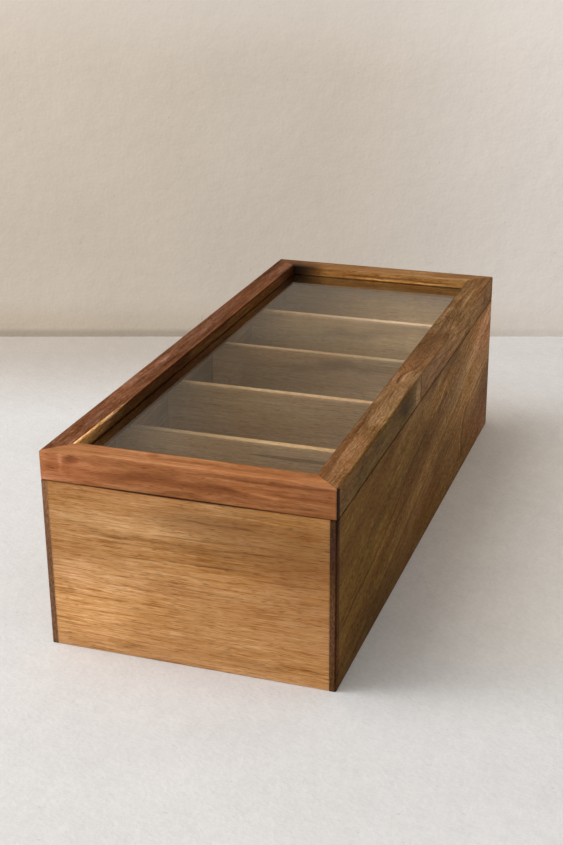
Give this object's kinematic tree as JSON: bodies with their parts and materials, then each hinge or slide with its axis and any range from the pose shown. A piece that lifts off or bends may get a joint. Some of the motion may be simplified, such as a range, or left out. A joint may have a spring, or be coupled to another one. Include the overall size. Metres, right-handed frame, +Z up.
{
  "type": "tea bag organizer box",
  "caption": "Long wooden box divided into equal compartments for tea bags, with a hinged lid of mitred rails holding a clear glass pane.",
  "frame": {"origin": "middle of the wooden box's flat underside, on the plane it rests on", "axes": "+X across the box, away from the hinges and towards the lid rail that is lifted; +Y along the box, away from the picture's front end; +Z up"},
  "size_m": [0.1537, 0.36, 0.1055],
  "materials": {
    "side_wood": "satin oiled acacia, brown heartwood",
    "end_wood": "satin oiled acacia, golden",
    "inner_wood": "satin oiled acacia, pale",
    "rail_wood": "satin oiled acacia, reddish",
    "clear_glass": "clear polished",
    "hinge_brass": "satin",
    "pin_brass": "satin",
    "screw_brass": "satin"
  },
  "bodies": {
    "box": {"side_board_left": "side_wood", "side_board_right": "side_wood", "end_panel_front": "end_wood", "end_panel_rear": "end_wood", "bottom_panel": "inner_wood", "divider_1": "inner_wood", "divider_2": "inner_wood", "divider_3": "inner_wood", "divider_4": "inner_wood", "hinge_leaf_body_front": "hinge_brass", "hinge_leaf_body_rear": "hinge_brass", "hinge_pin_front": "pin_brass", "hinge_pin_rear": "pin_brass", "hinge_screws_body": "screw_brass"},
    "lid": {"lid_rail_front": "rail_wood", "lid_rail_rear": "rail_wood", "lid_rail_left": "rail_wood", "lid_rail_right": "rail_wood", "lid_glass": "clear_glass", "hinge_leaf_lid_front": "hinge_brass", "hinge_leaf_lid_rear": "hinge_brass", "hinge_screws_lid": "screw_brass"}
  },
  "joints": [
    {"name": "lid_hinge", "type": "hinge", "parent": "box", "child": "lid", "pos_m": [-0.076, 0, 0.09015], "axis": [0, -1, 0], "range_deg": [0, 100]}
  ]
}
